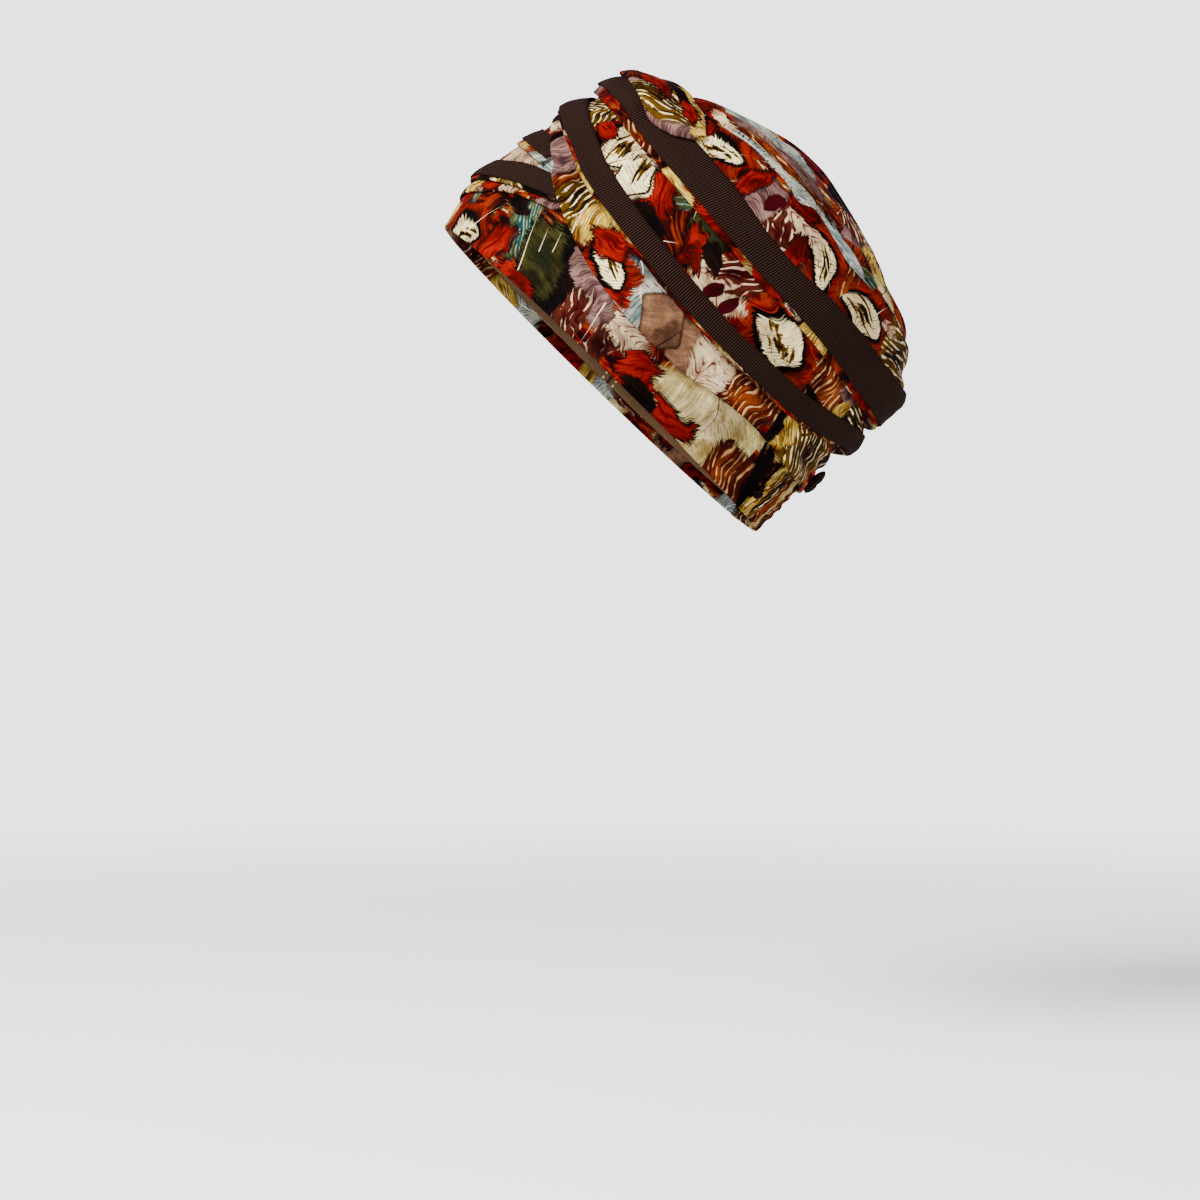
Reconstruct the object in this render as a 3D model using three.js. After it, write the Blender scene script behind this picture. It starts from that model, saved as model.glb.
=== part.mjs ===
// Pre-tied turban headwrap, in the shape that it has on a head, in millimetres.
// +Z is up, the wearer faces -Y and the wearer's left is +X. The origin is the middle of the head opening.
//
// The cloth is laid in layers on a closed cap: a band round the rim, then the right wrap, then the left.
// Every place on the cap is given by a turn, a height above the rim plane and a lift from the cap's outer
// face. The turn is in degrees round the head from the front, towards the wearer's left.
import * as THREE from 'three';

// Driving dimensions
const CROWN_HEIGHT = 136;
const WORN_TILT = 44.3;
const CLOTH_WALL = 1;
const BAND_WALL = 1.4;
const RIBBON_WALL = 1;
const GAP = 0.45;
const COLUMN_TURN = 7.5;
const FOLD_LAP = 6;
const RIBBON_INSET = 1.5;
const WIDE_RIBBON_INSET = 3;
const BAND_REACH = 8;
const NAPE_TURN = 150;
const BACK_TURN = 180;
const SEAM_MARGIN = 0.4;
const NAPE_WALL = 2.4;
const NAPE_HEIGHT = 31;
const RUCHE_DEPTH = 1.1;
const RUCHE_COUNT = 7;
const KNOT_WALL = 3.5;
const KNOT_HEIGHT = 35;
const KNOT_HALF_HEIGHT = 7;
const KNOT_HALF_TURN = 6;

const COLOURS = { print: 0xa8492c, band: 0xb0552f, crown: 0x8d9a94, gather: 0x6b4526, ribbon: 0x37241e };

function table(columns, rows) {
  return rows.map((row) => Object.fromEntries(columns.map((name, i) => [name, row[i]])));
}

// Front and back are distances along the rim plane from the middle of the opening.
const CAP_SECTIONS = table(['height', 'front', 'back', 'halfWidth'], [
  [0, -95, 96, 76],
  [15, -98.5, 96.5, 77.5],
  [27, -98.5, 96.5, 78.5],
  [45, -97.5, 96.5, 80],
  [60, -93.5, 96, 80.5],
  [74, -90.5, 96.5, 80],
  [86, -84, 97, 77.5],
  [95, -79.5, 94.5, 74],
  [107, -71, 87.5, 67],
  [118, -58, 64, 55],
  [123, -47.5, 54, 45],
  [127, -37, 41, 35.5],
  [132, -22, 23, 22],
  [136, 1, 1, 0],
]);

// The left wrap: its own lower edge, the two ribbons sewn on it, and the edge where it ends on the crown.
const LEFT_WRAP_EDGE = table(['turn', 'height'], [
  [-75, 109], [-67.5, 106.5], [-52.5, 101], [-37.5, 92], [-22.5, 82], [0, 71], [20, 62], [38, 51],
  [57, 35.5], [68, 28.5], [79, 24], [91, 21.5], [105, 22], [118, 25.5], [132, 28], [150, 27], [180, 26],
]);
const LEFT_NARROW_RIBBON = table(['turn', 'lower', 'upper'], [
  [-60, 108.5, 110.5], [-52.5, 104.5, 108.5], [-45, 100, 107], [-22.5, 86.5, 96], [0, 75, 86],
  [20, 68.5, 79.5], [40, 59.5, 71], [52, 53, 64], [65, 48.5, 59], [77, 45.5, 55.5], [97, 41.5, 51.5],
  [109, 41, 50.5], [120, 41.5, 51.5],
  [133, 43, 53], [147, 46, 57], [168, 52.5, 63.5], [180, 54, 65],
]);
const LEFT_WIDE_RIBBON = table(['turn', 'lower', 'upper'], [
  [-45, 108.5, 110.5], [-37.5, 104, 108.5], [-30, 100, 108], [-15, 93, 105], [0, 89.5, 102],
  [25, 86, 98.5], [47, 82.5, 97], [62, 79.5, 95.5], [78, 77, 92.5], [95, 74.5, 87.5],
  [105, 73.5, 86.5], [118, 73.5, 88], [132, 73, 88.5],
  [150, 72, 88], [180, 73, 89],
]);
const LEFT_PLEAT = table(['turn', 'lower', 'upper'], [
  [-22.5, 105, 110], [0, 98, 110], [25, 95, 109], [37.5, 92, 107], [50, 88, 104.5], [60, 94, 101],
]);
const LEFT_CROWN_EDGE = table(['turn', 'height'], [
  [-75, 111.5], [-40, 111.5], [-15, 113], [15, 114.5], [47, 110], [70, 112], [86, 110.5], [93, 108.5],
  [99, 110.5], [118, 105], [138, 107], [165, 108], [180, 107],
]);

// The right wrap lies under the left one: it runs low across the forehead and ends inside the crossing.
const RIGHT_WRAP_EDGE = table(['turn', 'height'], [
  [-180, 26], [-150, 27], [-120, 25.5], [-90, 21.5], [-60, 16.5], [-30, 13], [-8, 13.5], [7, 15.5],
  [24, 20.5], [38, 28], [53, 33.5], [60, 35.5],
]);
const RIGHT_NARROW_RIBBON = table(['turn', 'lower', 'upper'], [
  [-180, 54, 65], [-168, 52.5, 63.5], [-148, 46, 57], [-120, 41.5, 51.5], [-90, 38.5, 49],
  [-60, 32.5, 43], [-30, 26, 37], [0, 24, 35.5], [20, 26.5, 37.5], [37, 32, 43], [52.5, 38, 47],
]);
const RIGHT_WIDE_RIBBON = table(['turn', 'lower', 'upper'], [
  [-180, 73, 89], [-150, 72, 88], [-120, 73, 88], [-90, 71, 84.5], [-60, 65, 78], [-30, 56.5, 68.5],
  [0, 52, 62], [22.5, 49.5, 59], [37.5, 48.5, 57.5],
]);
const RIGHT_CROWN_EDGE = table(['turn', 'height'], [
  [-180, 107], [-165, 108], [-138, 107], [-118, 105], [-95, 110], [-75, 111], [-67.5, 112],
]);

// A smooth line through a table's rows that never swings past them.
function through(rows, from, to) {
  const x = rows.map((row) => row[from]);
  const y = rows.map((row) => row[to]);
  const last = rows.length - 1;
  const slopes = x.slice(1).map((value, i) => (y[i + 1] - y[i]) / (value - x[i]));
  const tangents = x.map((_, i) => {
    const before = slopes[Math.max(i - 1, 0)];
    const after = slopes[Math.min(i, last - 1)];
    return before * after <= 0 ? 0 : (2 * before * after) / (before + after);
  });
  return (value) => {
    const at = THREE.MathUtils.clamp(value, x[0], x[last]);
    const next = Math.max(1, x.findIndex((edge) => edge >= at));
    const i = next - 1;
    const width = x[next] - x[i];
    const t = (at - x[i]) / width;
    const blend = t * t * (3 - 2 * t);
    const bend = tangents[i] * t * (1 - t) ** 2 - tangents[next] * t * t * (1 - t);
    return y[i] + (y[next] - y[i]) * blend + width * bend;
  };
}

const RISE_SECTIONS = CAP_SECTIONS.map((row) => ({ ...row, rise: Math.asin(row.height / CROWN_HEIGHT) }));
const capFront = through(RISE_SECTIONS, 'rise', 'front');
const capBack = through(RISE_SECTIONS, 'rise', 'back');
const capHalfWidth = through(RISE_SECTIONS, 'rise', 'halfWidth');

function riseAt(height) {
  return Math.asin(THREE.MathUtils.clamp(height / CROWN_HEIGHT, 0, 1));
}

function capPoint(turn, rise) {
  const angle = THREE.MathUtils.degToRad(turn);
  const middle = (capFront(rise) + capBack(rise)) / 2;
  const halfDepth = (capBack(rise) - capFront(rise)) / 2;
  return new THREE.Vector3(
    capHalfWidth(rise) * Math.sin(angle),
    middle - halfDepth * Math.cos(angle),
    CROWN_HEIGHT * Math.sin(rise),
  );
}

function liftedPoint(turn, rise, lift) {
  const step = 0.01;
  const top = Math.PI / 2 - step;
  const low = THREE.MathUtils.clamp(rise - step, 0, top - step);
  const across = capPoint(turn + 1, low + step).sub(capPoint(turn - 1, low + step));
  const up = capPoint(turn, low + 2 * step).sub(capPoint(turn, low));
  const normal = across.cross(up).normalize();
  if (rise > top) {
    normal.set(0, 0, 1);
  }
  return capPoint(turn, rise).addScaledVector(normal, lift);
}

// How thick the cloth already laid is, at every column and height step.
const HEIGHT_STEP = 1.5;
const COLUMN_COUNT = 360 / COLUMN_TURN;
const STEP_COUNT = Math.ceil(CROWN_HEIGHT / HEIGHT_STEP) + 1;
const EASE_STEPS = 1;
const laid = Array.from({ length: COLUMN_COUNT }, () => new Array(STEP_COUNT).fill(0));

function laidColumn(turn) {
  return laid[((Math.round(turn / COLUMN_TURN) % COLUMN_COUNT) + COLUMN_COUNT) % COLUMN_COUNT];
}

// The thickest cloth near a place between two turns, eased so that a layer above it slopes gently.
function laidUnder(turn, height, from, to) {
  const sides = [-COLUMN_TURN, 0, COLUMN_TURN];
  const near = sides.map((side) => laidColumn(THREE.MathUtils.clamp(turn + side, from, to)));
  const middle = Math.round(height / HEIGHT_STEP);
  const steps = Array.from({ length: 2 * EASE_STEPS + 1 }, (_, i) => middle + i - EASE_STEPS);
  const highest = (step) => {
    const first = Math.max(0, step - EASE_STEPS);
    const nearby = near.map((column) => Math.max(...column.slice(first, step + EASE_STEPS + 1), 0));
    return Math.max(...nearby);
  };
  return steps.reduce((sum, step) => sum + highest(step), 0) / steps.length;
}

const headwrap = new THREE.Group();
headwrap.name = 'turban_headwrap';
headwrap.rotation.x = THREE.MathUtils.degToRad(-WORN_TILT);

function addPiece(name, geometry, colour, roughness) {
  geometry.computeVertexNormals();
  const material = new THREE.MeshStandardMaterial({ color: colour, roughness, metalness: 0 });
  const piece = new THREE.Mesh(geometry, material);
  piece.name = name;
  headwrap.add(piece);
}

// A box geometry laid on the layers below: its width runs round the head, its height up it and its depth
// through the cloth.
function laidSheet({ from, to, lower, upper, wall, rows }) {
  const columns = Math.round((to - from) / COLUMN_TURN);
  const geometry = new THREE.BoxGeometry(1, 1, 1, columns, rows, 1);
  const position = geometry.attributes.position;
  const marks = [];
  for (let i = 0; i < position.count; i += 1) {
    const turn = THREE.MathUtils.lerp(from, to, position.getX(i) + 0.5);
    const height = THREE.MathUtils.lerp(lower(turn), upper(turn), position.getY(i) + 0.5);
    const depth = position.getZ(i) + 0.5;
    const lift = laidUnder(turn, height, from, to) + GAP + depth * wall;
    const seam = BACK_TURN - SEAM_MARGIN;
    const point = liftedPoint(THREE.MathUtils.clamp(turn, -seam, seam), riseAt(height), lift);
    position.setXYZ(i, point.x, point.y, point.z);
    if (depth > 0.5 && Math.abs(turn) < BACK_TURN) {
      marks.push({ turn, lift });
    }
  }
  for (const { turn, lift } of marks) {
    const column = laidColumn(turn);
    const first = Math.floor(lower(turn) / HEIGHT_STEP);
    const last = Math.ceil(upper(turn) / HEIGHT_STEP);
    for (let step = first; step <= last; step += 1) {
      column[step] = Math.max(column[step], lift);
    }
  }
  return geometry;
}

function addFold(name, span) {
  addPiece(name, laidSheet({ wall: CLOTH_WALL, rows: 6, ...span }), COLOURS.print, 0.85);
}

function addRibbon(name, from, to, rows) {
  const lower = through(rows, 'turn', 'lower');
  const upper = through(rows, 'turn', 'upper');
  addPiece(name, laidSheet({ from, to, lower, upper, wall: RIBBON_WALL, rows: 2 }), COLOURS.ribbon, 0.7);
}

// The cap: a thin ball shell, its two faces marked by their radius, bent onto the head's sections.
function crownCap() {
  const capLow = 3;
  const rows = 16;
  const top = Math.PI / 2;
  const shares = Array.from({ length: rows + 1 }, (_, i) => i / rows);
  const rises = shares.map((share) => THREE.MathUtils.lerp(riseAt(capLow), top, share));
  const onBall = (radius, rise) => {
    const level = rise < top ? radius * Math.cos(rise) : 0;
    return new THREE.Vector2(level, radius * Math.sin(rise));
  };
  const inside = rises.map((rise) => onBall(1, rise)).reverse();
  const outside = rises.map((rise) => onBall(2, rise));
  const geometry = new THREE.LatheGeometry([...inside, ...outside], COLUMN_COUNT);
  const position = geometry.attributes.position;
  for (let i = 0; i < position.count; i += 1) {
    const [x, y, z] = [position.getX(i), position.getY(i), position.getZ(i)];
    const level = Math.hypot(x, z);
    const turn = THREE.MathUtils.radToDeg(Math.atan2(x, z));
    const lift = Math.hypot(level, y) > 1.5 ? 0 : -CLOTH_WALL;
    const point = liftedPoint(turn, Math.atan2(y, level), lift);
    position.setXYZ(i, point.x, point.y, point.z);
  }
  return geometry;
}

const edge = (rows) => through(rows, 'turn', 'height');
const shifted = (line, by) => (turn) => line(turn) + by;
const capped = (line, top) => (turn) => Math.min(line(turn), top(turn));

addPiece('crown_cap', crownCap(), COLOURS.crown, 0.85);

// Rim band: turned round the face and ears, ending at the gathered nape.
const leftEdge = edge(LEFT_WRAP_EDGE);
const rightEdge = edge(RIGHT_WRAP_EDGE);
const wrapEdge = (turn) => (turn < 57 ? rightEdge(turn) : leftEdge(turn));
addPiece('rim_band', laidSheet({
  from: -NAPE_TURN,
  to: NAPE_TURN,
  lower: () => 0,
  upper: shifted(wrapEdge, BAND_REACH),
  wall: BAND_WALL,
  rows: 3,
}), COLOURS.band, 0.85);

// Nape gather: an elastic casing drawn into small upright pleats.
const napeSpan = 2 * (BACK_TURN - NAPE_TURN);
const napeMargin = 0.5;
addPiece('nape_gather', (() => {
  const geometry = new THREE.BoxGeometry(1, 1, 1, 4 * RUCHE_COUNT, 3, 1);
  const position = geometry.attributes.position;
  for (let i = 0; i < position.count; i += 1) {
    const share = position.getX(i) + 0.5;
    const turn = THREE.MathUtils.lerp(NAPE_TURN + napeMargin, NAPE_TURN + napeSpan - napeMargin, share);
    const height = NAPE_HEIGHT * (position.getY(i) + 0.5);
    const ruche = RUCHE_DEPTH * Math.cos(2 * Math.PI * RUCHE_COUNT * share);
    const lift = GAP + (position.getZ(i) + 0.5) * (NAPE_WALL + ruche);
    const point = liftedPoint(turn, riseAt(height), lift);
    position.setXYZ(i, point.x, point.y, point.z);
  }
  return geometry;
})(), COLOURS.gather, 0.85);
for (let turn = NAPE_TURN; turn <= NAPE_TURN + napeSpan; turn += COLUMN_TURN) {
  laidColumn(turn).fill(GAP + NAPE_WALL + RUCHE_DEPTH, 0, Math.ceil(NAPE_HEIGHT / HEIGHT_STEP) + 1);
}

// A wrap is three folds, each lapping over the one below it, with a ribbon sewn along the two upper folds.
function addWrap(side, spans, rows) {
  const narrow = through(rows.narrow, 'turn', 'lower');
  const wide = through(rows.wide, 'turn', 'lower');
  const low = edge(rows.edge);
  const top = rows.top;
  addFold(`${side}_fold_low`, {
    ...spans.low,
    lower: low,
    upper: capped(shifted(narrow, FOLD_LAP), top),
  });
  addFold(`${side}_fold_middle`, {
    ...spans.middle,
    rows: 4,
    lower: shifted(narrow, -RIBBON_INSET),
    upper: capped(shifted(wide, FOLD_LAP - WIDE_RIBBON_INSET), top),
  });
  addRibbon(`${side}_ribbon_narrow`, spans.narrow.from, spans.narrow.to, rows.narrow);
  addFold(`${side}_fold_top`, {
    ...spans.top,
    lower: shifted(wide, -WIDE_RIBBON_INSET),
    upper: top,
  });
  addRibbon(`${side}_ribbon_wide`, spans.wide.from, spans.wide.to, rows.wide);
}

// The right wrap's upper edge is free on the crown at the side, then runs hidden under the left wrap.
const hiddenReach = 7;
const rightCrown = edge(RIGHT_CROWN_EDGE);
const hiddenTop = capped(shifted(leftEdge, hiddenReach), () => 112);
const rightTop = (turn) => (turn < -67.5 ? rightCrown(turn) : hiddenTop(turn));
addWrap('right', {
  low: { from: -BACK_TURN, to: 60 },
  middle: { from: -BACK_TURN, to: 52.5 },
  narrow: { from: -BACK_TURN, to: 52.5 },
  top: { from: -BACK_TURN, to: 37.5 },
  wide: { from: -BACK_TURN, to: 37.5 },
}, { edge: RIGHT_WRAP_EDGE, narrow: RIGHT_NARROW_RIBBON, wide: RIGHT_WIDE_RIBBON, top: rightTop });

addWrap('left', {
  low: { from: -75, to: BACK_TURN },
  middle: { from: -60, to: BACK_TURN },
  narrow: { from: -52.5, to: BACK_TURN },
  top: { from: -45, to: BACK_TURN },
  wide: { from: -37.5, to: BACK_TURN },
}, {
  edge: LEFT_WRAP_EDGE,
  narrow: LEFT_NARROW_RIBBON,
  wide: LEFT_WIDE_RIBBON,
  top: edge(LEFT_CROWN_EDGE),
});

// A short pleat of the top fold that falls over the wide ribbon above the temple.
addFold('left_pleat', {
  from: -22.5,
  to: 60,
  rows: 2,
  lower: through(LEFT_PLEAT, 'turn', 'lower'),
  upper: through(LEFT_PLEAT, 'turn', 'upper'),
});

// The knot at the nape: a ball flattened onto the cloth where the wraps' lower ends are drawn together.
addPiece('nape_knot', (() => {
  const geometry = new THREE.SphereGeometry(1, 16, 10);
  const position = geometry.attributes.position;
  const sides = [BACK_TURN - COLUMN_TURN, BACK_TURN + COLUMN_TURN];
  const under = Math.max(...sides.map((turn) => laidUnder(turn, KNOT_HEIGHT, 0, 360)));
  for (let i = 0; i < position.count; i += 1) {
    const turn = BACK_TURN + KNOT_HALF_TURN * position.getX(i);
    const height = KNOT_HEIGHT + KNOT_HALF_HEIGHT * position.getY(i);
    const lift = under + GAP + (KNOT_WALL * (position.getZ(i) + 1)) / 2;
    const point = liftedPoint(turn, riseAt(height), lift);
    position.setXYZ(i, point.x, point.y, point.z);
  }
  return geometry;
})(), COLOURS.gather, 0.85);

export default headwrap;
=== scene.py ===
import math

import bmesh
import bpy
import numpy as np
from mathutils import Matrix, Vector


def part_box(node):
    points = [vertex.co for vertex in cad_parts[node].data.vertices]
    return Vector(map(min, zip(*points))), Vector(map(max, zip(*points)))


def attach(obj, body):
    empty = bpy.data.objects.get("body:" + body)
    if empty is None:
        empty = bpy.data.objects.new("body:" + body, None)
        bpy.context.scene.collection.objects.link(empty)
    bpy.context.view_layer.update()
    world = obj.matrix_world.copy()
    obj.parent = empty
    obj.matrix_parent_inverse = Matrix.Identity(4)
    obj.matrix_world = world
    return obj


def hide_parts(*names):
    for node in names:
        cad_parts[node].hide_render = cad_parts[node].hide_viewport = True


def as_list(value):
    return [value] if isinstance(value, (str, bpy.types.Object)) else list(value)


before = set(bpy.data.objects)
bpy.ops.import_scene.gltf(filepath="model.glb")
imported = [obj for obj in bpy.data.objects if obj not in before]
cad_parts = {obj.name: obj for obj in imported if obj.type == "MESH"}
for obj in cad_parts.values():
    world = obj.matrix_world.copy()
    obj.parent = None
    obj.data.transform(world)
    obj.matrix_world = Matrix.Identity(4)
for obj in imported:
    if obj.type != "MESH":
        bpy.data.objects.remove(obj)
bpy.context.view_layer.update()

# The headwrap is measured in millimetres, on a cap whose places are given by a turn (degrees round the head
# from the front, towards the wearer's left), a height above the rim plane and a lift off the cap's outer
# face.
CROWN_HEIGHT = 136.0
CAP_WIDTH = 160.8
CAP_RADIUS = 97
CAP_FLAT = (310, 330)
CAP_AREA = 77000
CLOTH = 0.45
RIBBON = 0.7
KNOT_CLOTH = 0.3
GAP = 0.2
HEM = 1.3
RIM_HEM = 1.7
NAPE_HEM = 1.6
ROLLED_EDGE = 0.9
PLEAT_PITCH = 12
RIB_PITCH = 1.1
SEAM_SPACE = 126.0
STITCH_ASIDE = 2.6
ARC_PER_DEGREE = 1.4

# Angles: how far the worn wrap leans back, and the turn where the rim gives way to the gathered nape.
WORN_TILT = math.radians(44.3)
NAPE_TURN = 150.0

# Metres: how near points must be to be joined, and how deep the weave's relief is.
SEAM_REACH = 0.00001
RELIEF_DEPTH = 0.0004

# Finishes shared by the cloths: hardly any gloss, and grains for each metre.
CLOTH_IOR = 1.05
WEAVE_SCALE = 2600
MOTTLE_SCALE = 700

cap_low, cap_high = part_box("crown_cap")
UNIT = (cap_high[0] - cap_low[0]) / CAP_WIDTH

# Columns: height, front, back, half width.
CAP_SECTIONS = [
    (0, -95, 96, 76), (15, -98.5, 96.5, 77.5), (27, -98.5, 96.5, 78.5), (45, -97.5, 96.5, 80),
    (60, -93.5, 96, 80.5), (74, -90.5, 96.5, 80), (86, -84, 97, 77.5), (95, -79.5, 94.5, 74),
    (107, -71, 87.5, 67), (118, -58, 64, 55), (123, -47.5, 54, 45), (127, -37, 41, 35.5),
    (132, -22, 23, 22), (136, 1, 1, 0),
]

# Columns: turn, height.
LEFT_WRAP_EDGE = [
    (-75, 109), (-67.5, 106.5), (-52.5, 101), (-37.5, 92), (-22.5, 82), (0, 71), (20, 62), (38, 51),
    (57, 35.5), (68, 28.5), (79, 24), (91, 21.5), (105, 22), (118, 25.5), (132, 28), (150, 27), (180, 26),
]
LEFT_CROWN_EDGE = [
    (-75, 111.5), (-40, 111.5), (-15, 113), (15, 114.5), (47, 110), (60, 110.5), (70, 112), (79, 111.3),
    (86, 110.5), (93, 108), (99, 110.8), (108, 108), (118, 104.8), (128, 105), (138, 107), (152, 104),
    (165, 104), (180, 103),
]
RIGHT_WRAP_EDGE = [
    (-180, 26), (-150, 27), (-120, 25.5), (-90, 21.5), (-60, 16.5), (-30, 13), (-8, 13.5), (7, 15.5),
    (24, 20.5), (38, 28), (53, 33.5), (60, 35.5),
]
RIGHT_CROWN_EDGE = [
    (-180, 103), (-165, 104), (-152, 104), (-138, 107), (-118, 105), (-107, 108.5), (-95, 110),
    (-84, 109.5), (-75, 111), (-67.5, 112),
]

# Columns: turn, lower edge, upper edge.
LEFT_NARROW_RIBBON = [
    (-60, 108.5, 110.5), (-52.5, 104.5, 108.5), (-45, 100, 107), (-22.5, 86.5, 96), (0, 75, 86),
    (20, 68.5, 79.5), (40, 59.5, 71), (52, 53, 64), (65, 48.5, 59), (77, 45.5, 55.5), (97, 41.5, 51.5),
    (109, 41, 50.5), (120, 41.5, 51.5), (133, 43, 53), (147, 46, 57), (168, 52.5, 63.5), (180, 54, 65),
]
LEFT_WIDE_RIBBON = [
    (-45, 108.5, 110.5), (-37.5, 104, 108.5), (-30, 100, 108), (-15, 93, 105), (0, 89.5, 102),
    (25, 86, 98.5), (47, 82.5, 97), (62, 79.5, 95.5), (78, 77, 92.5), (95, 74.5, 87.5), (105, 73.5, 86.5),
    (118, 73.5, 88), (132, 73, 88.5), (150, 72, 88), (180, 73, 89),
]
LEFT_PLEAT = [
    (-22.5, 105, 110), (0, 98, 111), (25, 94.5, 110.5), (37.5, 91.5, 109.5), (48, 88, 108),
    (54, 89.5, 105), (60, 95, 100),
]
RIGHT_NARROW_RIBBON = [
    (-180, 54, 65), (-168, 52.5, 63.5), (-148, 46, 57), (-120, 41.5, 51.5), (-90, 38.5, 49),
    (-60, 32.5, 43), (-30, 26, 37), (0, 24, 35.5), (20, 26.5, 37.5), (37, 32, 43), (52.5, 38, 47),
]
RIGHT_WIDE_RIBBON = [
    (-180, 73, 89), (-150, 72, 88), (-120, 73, 88), (-90, 71, 84.5), (-60, 65, 78), (-30, 56.5, 68.5),
    (0, 52, 62), (22.5, 49.5, 59), (37.5, 48.5, 57.5),
]


# ---------------------------------------------------------------- the head's form

def line_through(rows, column=1):
    """A smooth line through a table's rows that never swings past them."""
    x = np.array([row[0] for row in rows], float)
    y = np.array([row[column] for row in rows], float)
    slope = np.diff(y) / np.diff(x)
    before = np.append(slope[0], slope)
    after = np.append(slope, slope[-1])
    agree = before * after > 0
    tangent = np.where(agree, 2 * before * after / np.where(agree, before + after, 1), 0)

    def at(value):
        value = np.clip(value, x[0], x[-1])
        i = np.clip(np.searchsorted(x, value, side="right") - 1, 0, len(x) - 2)
        width = x[i + 1] - x[i]
        t = (value - x[i]) / width
        bend = tangent[i] * t * (1 - t) ** 2 - tangent[i + 1] * t * t * (1 - t)
        return y[i] + (y[i + 1] - y[i]) * t * t * (3 - 2 * t) + width * bend

    return at


def rise_of(height):
    return np.arcsin(np.clip(np.asarray(height, float) / CROWN_HEIGHT, 0, 1))


RISE_ROWS = [(float(rise_of(row[0])), *row[1:]) for row in CAP_SECTIONS]
cap_front = line_through(RISE_ROWS, 1)
cap_back = line_through(RISE_ROWS, 2)
cap_half_width = line_through(RISE_ROWS, 3)


def cap_point(turn, rise):
    angle = np.radians(turn)
    front, back = cap_front(rise), cap_back(rise)
    middle, half_depth = (front + back) / 2, (back - front) / 2
    across = cap_half_width(rise) * np.sin(angle)
    return np.stack([across, middle - half_depth * np.cos(angle), CROWN_HEIGHT * np.sin(rise)], -1)


def unit(vectors):
    return vectors / np.maximum(np.linalg.norm(vectors, axis=-1, keepdims=True), 1e-9)


def cap_directions(turn, rise):
    """Unit vectors round the head, up it and out of it."""
    step = 0.01
    rise = np.clip(rise, step, math.pi / 2 - 2 * step)
    around = unit(cap_point(turn + 0.5, rise) - cap_point(turn - 0.5, rise))
    up = unit(cap_point(turn, rise + step) - cap_point(turn, rise - step))
    out = unit(np.cross(around, up))
    return around, unit(np.cross(out, around)), out


def lifted(turn, height, lift):
    rise = rise_of(height)
    out = cap_directions(turn, rise)[2]
    return cap_point(turn, rise) + out * np.asarray(lift, float)[..., None]


def climb(turn, height):
    """How much height one millimetre of cloth gains, going straight up the head."""
    return np.maximum(cap_directions(turn, rise_of(height))[1][..., 2], 0.25)


def worn(points):
    """Rim-plane millimetres to the row frame's metres."""
    c, s = math.cos(WORN_TILT), math.sin(WORN_TILT)
    x, y, z = points[..., 0], points[..., 1], points[..., 2]
    return UNIT * np.stack([x, c * y + s * z, c * z - s * y], -1)


# ---------------------------------------------------------------- seeded softness

def soft_noise(x, y, seed):
    """Smooth noise from -1 to 1 that changes over one unit of x and of y."""
    lattice = np.random.default_rng(seed).uniform(-1, 1, (64, 64))
    x, y = np.broadcast_arrays(np.asarray(x, float), np.asarray(y, float))
    i, j = np.floor(x).astype(int), np.floor(y).astype(int)
    u, v = x - i, y - j
    u, v = u * u * (3 - 2 * u), v * v * (3 - 2 * v)
    near = lattice[i % 64, j % 64] * (1 - u) + lattice[(i + 1) % 64, j % 64] * u
    far = lattice[i % 64, (j + 1) % 64] * (1 - u) + lattice[(i + 1) % 64, (j + 1) % 64] * u
    return near * (1 - v) + far * v


def smooth_step(low, high, value):
    t = np.clip((value - low) / (high - low), 0, 1)
    return t * t * (3 - 2 * t)


# ---------------------------------------------------------------- layers of cloth

class Layers:
    """The outer face of the cloth laid so far: a lift for each degree of turn and millimetre of height."""

    def __init__(self):
        self.top = np.zeros((361, int(CROWN_HEIGHT) + 2))
        self.turns = np.arange(-180, 181)[:, None] * np.ones((1, self.top.shape[1]))
        self.heights = np.arange(self.top.shape[1])[None, :] * np.ones((361, 1))

    def shift(self, field, turns, heights):
        rows = np.clip(np.arange(field.shape[0]) + turns, 0, field.shape[0] - 1)
        columns = np.clip(np.arange(field.shape[1]) + heights, 0, field.shape[1] - 1)
        return field[rows][:, columns]

    def eased(self):
        """The top field, spread two steps each way and softened, so that what lies on it clears it."""
        wide = np.max([self.shift(self.top, i, j) for i in range(-2, 3) for j in range(-2, 3)], axis=0)
        for _ in range(2):
            wide = np.mean([self.shift(wide, i, j) for i in range(-1, 2) for j in range(-1, 2)], axis=0)
        return wide

    def sample(self, field, turn, height):
        x = np.clip(np.asarray(turn, float) + 180, 0, 359.999)
        y = np.clip(np.asarray(height, float), 0, field.shape[1] - 1.001)
        i, j = x.astype(int), y.astype(int)
        u, v = x - i, y - j
        near = field[i, j] * (1 - u) + field[i + 1, j] * u
        far = field[i, j + 1] * (1 - u) + field[i + 1, j + 1] * u
        return near * (1 - v) + far * v

    def add(self, start, end, lower, upper, lift):
        inside = (self.turns >= start) & (self.turns <= end)
        inside &= (self.heights >= lower(self.turns)) & (self.heights <= upper(self.turns))
        self.top = np.where(inside, np.maximum(self.top, lift(self.turns, self.heights)), self.top)


layers = Layers()


# ---------------------------------------------------------------- node helpers

RICHNESS = 1.22
DARK_SHARE, LIGHT_SHARE, LIGHT_CURVE = 0.2, 0.9, 1.6
BLACKEST = 0.0008


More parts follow.
